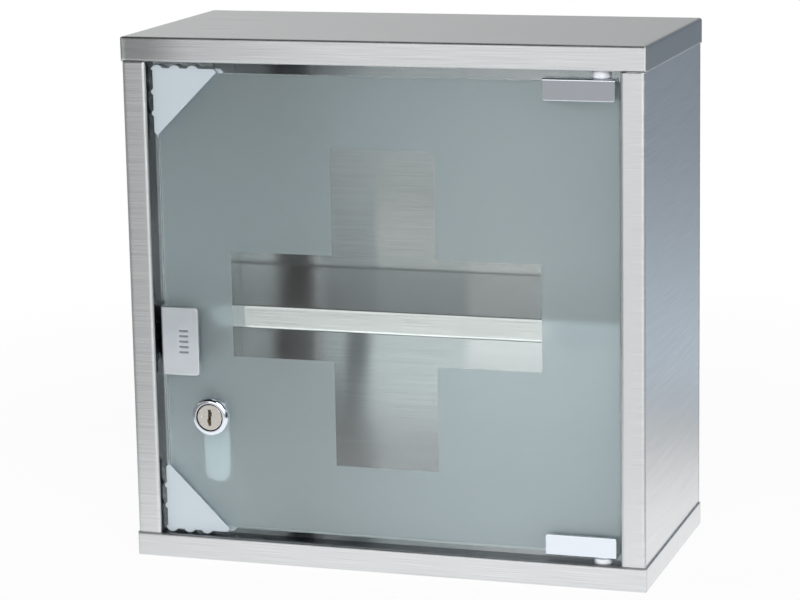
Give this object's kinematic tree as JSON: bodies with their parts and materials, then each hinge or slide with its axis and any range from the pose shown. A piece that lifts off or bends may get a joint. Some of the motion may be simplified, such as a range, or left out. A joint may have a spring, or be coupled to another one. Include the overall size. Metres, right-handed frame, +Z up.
{
  "type": "lockable medicine cabinet",
  "caption": "Shallow square wall cabinet of folded steel with an inner shelf and an inset frosted glass door on corner pivots, with a push latch and a cam lock.",
  "frame": {"origin": "centre of the wall face, which is the rear face of the back panel", "axes": "+Y points out of the wall face, towards the wall; the door faces -Y; +Z is up; +X is to the right seen from the front"},
  "size_m": [0.3, 0.14, 0.3],
  "materials": {
    "brushed_panel": "brushed stainless steel",
    "plain_steel": "satin zinc",
    "satin_plate": "satin nickel",
    "chrome": "polished",
    "lock_nickel": "satin, warm",
    "brass": "plain",
    "magnet": "dull",
    "frosted_glass": "etched, with a clear cross and polished edges",
    "pale_plastic": "satin, slightly translucent",
    "white_nylon": "satin",
    "grey_plastic": "matt",
    "soft_pad": "matt",
    "black_rubber": "matt"
  },
  "bodies": {
    "cabinet_body": {"top_panel": "brushed_panel", "bottom_panel": "brushed_panel", "left_side_panel": "brushed_panel", "right_side_panel": "brushed_panel", "back_panel": "brushed_panel", "shelf": "brushed_panel", "left_shelf_bracket": "plain_steel", "right_shelf_bracket": "plain_steel", "top_hinge_bush": "white_nylon", "bottom_hinge_bush": "white_nylon", "latch_housing": "grey_plastic", "latch_screws": "plain_steel", "latch_spring": "plain_steel"},
    "latch_slider": {"latch_plunger": "white_nylon", "latch_magnet": "magnet"},
    "door_leaf": {"door_glass": "frosted_glass", "top_hinge_clamp": "chrome", "bottom_hinge_clamp": "chrome", "top_hinge_pin": "plain_steel", "bottom_hinge_pin": "plain_steel", "top_hinge_pad": "soft_pad", "bottom_hinge_pad": "soft_pad", "hinge_grub_screws": "plain_steel", "push_plate": "satin_plate", "push_plate_liner": "black_rubber", "top_corner_guard": "pale_plastic", "bottom_corner_guard": "pale_plastic", "lock_housing": "chrome", "lock_gasket": "black_rubber", "lock_nut": "plain_steel"},
    "key_plug": {"lock_plug": "lock_nickel", "lock_wafers": "brass", "lock_cam": "plain_steel", "cam_washer": "plain_steel", "cam_screw": "plain_steel"}
  },
  "joints": [
    {"name": "door_hinge", "type": "hinge", "parent": "cabinet_body", "child": "door_leaf", "pos_m": [0.124, -0.1325, 0], "axis": [0, 0, 1], "range_deg": [0, 120]},
    {"name": "lock_turn", "type": "hinge", "parent": "door_leaf", "child": "key_plug", "pos_m": [-0.1037, -0.1345, -0.066], "axis": [0, 1, 0], "range_deg": [0, 90]},
    {"name": "latch_slide", "type": "slide", "parent": "cabinet_body", "child": "latch_slider", "axis": [0, -1, 0], "range_m": [0, 0.008], "deforming": ["latch_spring"]}
  ],
  "couplings": [
    {"joint": "latch_slide", "follows": "door_hinge", "m_per_rad": 0.0038}
  ]
}
